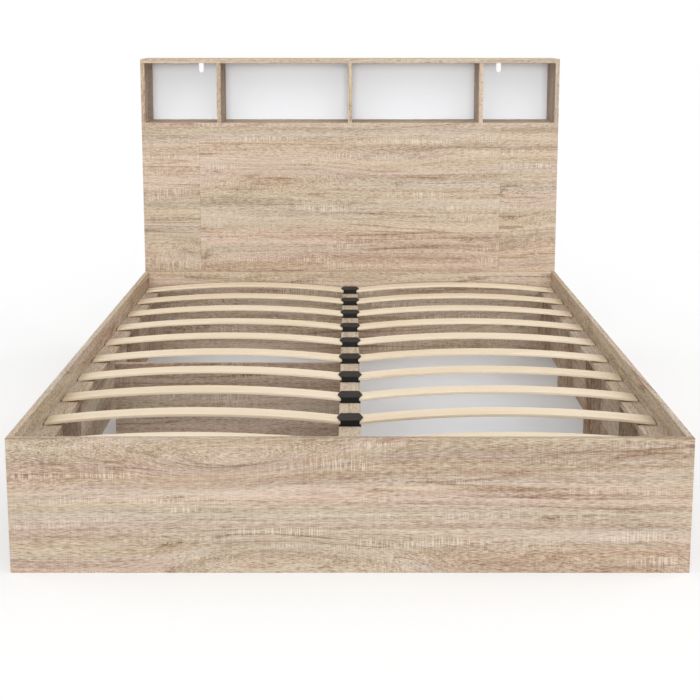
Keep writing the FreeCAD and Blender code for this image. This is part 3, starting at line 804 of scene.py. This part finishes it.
scene = bpy.context.scene
scene.view_settings.view_transform = "Standard"


def seen_directly(tree):
    """1 for rays from the camera or by way of gloss and glass, 0 for rays that light the bed."""
    path = tree.nodes.new("ShaderNodeLightPath").outputs
    seen = path["Is Camera Ray"]
    for name in ("Is Glossy Ray", "Is Transmission Ray"):
        larger = tree.nodes.new("ShaderNodeMath")
        larger.operation = "MAXIMUM"
        tree.links.new(seen, larger.inputs[0])
        tree.links.new(path[name], larger.inputs[1])
        seen = larger.outputs[0]
    return seen


def floor_finish():
    recipe = Recipe("floor_paint")
    past_bed = recipe.vector("SUBTRACT", recipe.vector("ABSOLUTE", recipe.space()), cad_high)
    x, y, z = recipe.split(past_bed)
    outside = recipe.calc("GREATER_THAN", recipe.calc("MAXIMUM", x, y), 0.0)
    glow = recipe.calc("MULTIPLY", seen_directly(recipe.tree), recipe.calc("MULTIPLY", outside, GLOW_OPEN))
    colour = recipe.blend(outside, FLOOR_UNDER, FLOOR_OPEN)
    return recipe.finish(Base_Color=colour, Roughness=FLOOR_ROUGHNESS, Specular_IOR_Level=0.0,
                         Emission_Color=WHITE, Emission_Strength=glow)


floor_mesh = bpy.data.meshes.new("floor")
floor_corners = [(x * FLOOR_HALF, y * FLOOR_HALF, 0.0) for x, y in ((-1, -1), (1, -1), (1, 1), (-1, 1))]
floor_mesh.from_pydata(floor_corners, [], [(0, 1, 2, 3)])
floor_mesh.materials.append(floor_finish())
floor = bpy.data.objects.new("floor", floor_mesh)
scene.collection.objects.link(floor)
print("floor of", 2 * FLOOR_HALF, "m square")

# %% [markdown]
# The sky has two strengths. To the camera it is plain white, as a paper backdrop is. To the bed it is a soft
# light from all sides, and at full strength that would flatten every shape, so there it is weaker.

# %% Sky
SKY_LEVEL = 0.44

world = bpy.data.worlds.new("sky")
world.use_nodes = True
scene.world = world
sky = world.node_tree
light_sky = sky.nodes["Background"]
light_sky.inputs["Color"].default_value = WHITE
light_sky.inputs["Strength"].default_value = SKY_LEVEL
seen_sky = sky.nodes.new("ShaderNodeBackground")
seen_sky.inputs["Color"].default_value = WHITE
choose = sky.nodes.new("ShaderNodeMixShader")
sky.links.new(seen_directly(sky), choose.inputs[0])
sky.links.new(light_sky.outputs[0], choose.inputs[1])
sky.links.new(seen_sky.outputs[0], choose.inputs[2])
sky.links.new(choose.outputs[0], sky.nodes["World Output"].inputs["Surface"])
print("sky lights at", SKY_LEVEL, "and shows white")

# %% [markdown]
# One lamp straight above the camera would leave the niches dark, so the light is shared. A low lamp in front
# reaches the backs of the niches, a higher one lights the slats and the boards under them, and two at the
# sides reach the inner faces of the rails. All are wide, so that no shadow has a hard edge.

# %% Lamps
# Height over the horizon and turn to the right of the front in degrees, level on a surface that faces the
# lamp, and softness in degrees
LAMPS = {
    "front_lamp": {"height": 4.0, "turn": 0.0, "level": 0.41, "softness": 15.0},
    "key_lamp": {"height": 42.0, "turn": 0.0, "level": 0.40, "softness": 60.0},
    "right_lamp": {"height": 36.0, "turn": 95.0, "level": 0.37, "softness": 60.0},
    "left_lamp": {"height": 36.0, "turn": -95.0, "level": 0.24, "softness": 60.0},
}

for name, setting in LAMPS.items():
    lamp_data = bpy.data.lights.new(name, "SUN")
    lamp_data.energy = setting["level"] * math.pi
    lamp_data.angle = math.radians(setting["softness"])
    lamp = bpy.data.objects.new(name, lamp_data)
    lamp.rotation_euler = (math.radians(90 - setting["height"]), 0, math.radians(setting["turn"]))
    scene.collection.objects.link(lamp)
    print(name, "at", setting["height"], "degrees, level", setting["level"])

# %% [markdown]
# The photograph's upright edges stay upright, as with a level camera whose lens is shifted down. A full
# shift would push the bed out of the picture seen from other sides, so the camera takes part of
# it as shift and looks down a little for the rest.

# %% Camera
CAMERA_PLACE = (0.0, -3.924, 1.294)
CAMERA_TILT = math.radians(8.68)
CAMERA_LENS = 63.57
CAMERA_SHIFT = -0.19

camera_data = bpy.data.cameras.new("camera")
camera_data.lens = CAMERA_LENS
camera_data.shift_y = CAMERA_SHIFT
camera = bpy.data.objects.new("camera", camera_data)
camera.location = CAMERA_PLACE
camera.rotation_euler = (math.pi / 2 - CAMERA_TILT, 0, 0)
scene.collection.objects.link(camera)
scene.camera = camera
print("camera", round(cad_low.y - camera.location.y, 2), "m in front of the footboard")
